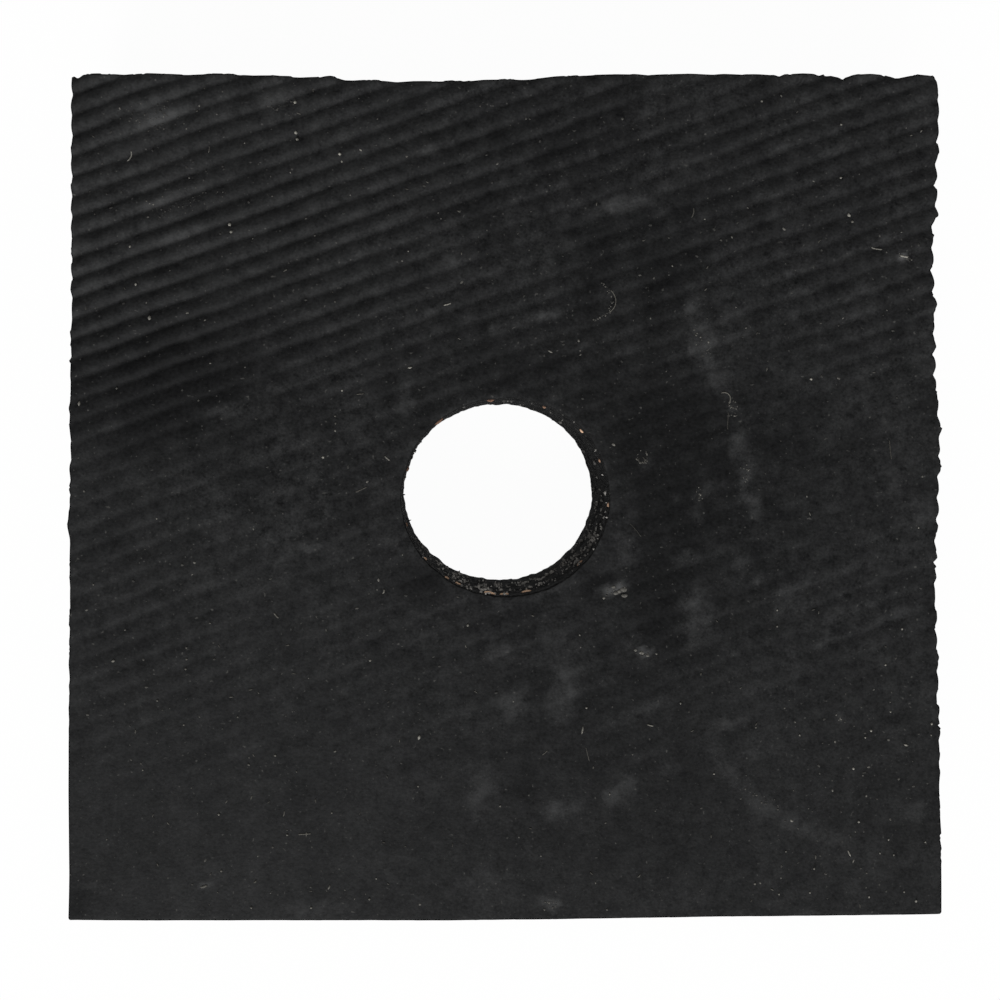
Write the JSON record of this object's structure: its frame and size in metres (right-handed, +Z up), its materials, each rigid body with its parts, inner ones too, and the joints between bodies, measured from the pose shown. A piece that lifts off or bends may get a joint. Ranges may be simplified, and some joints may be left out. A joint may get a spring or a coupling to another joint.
{
  "type": "anti vibration machine pad",
  "caption": "Square black rubber pad with a round centre hole and a slant-ridged upper face, laid under a machine's foot to damp vibration and held by a bolt through the hole.",
  "frame": {"origin": "axis of the hole, on the underside of the pad", "axes": "+Z up through the hole, out of the ridged face; +Y towards the wavy back edge; +X to the right"},
  "size_m": [0.1022, 0.0992, 0.0127],
  "materials": {
    "rubber": "matt black, flecked with pale fibre ends and chalky dust"
  },
  "bodies": {
    "root": {"pad": "rubber"}
  },
  "joints": []
}
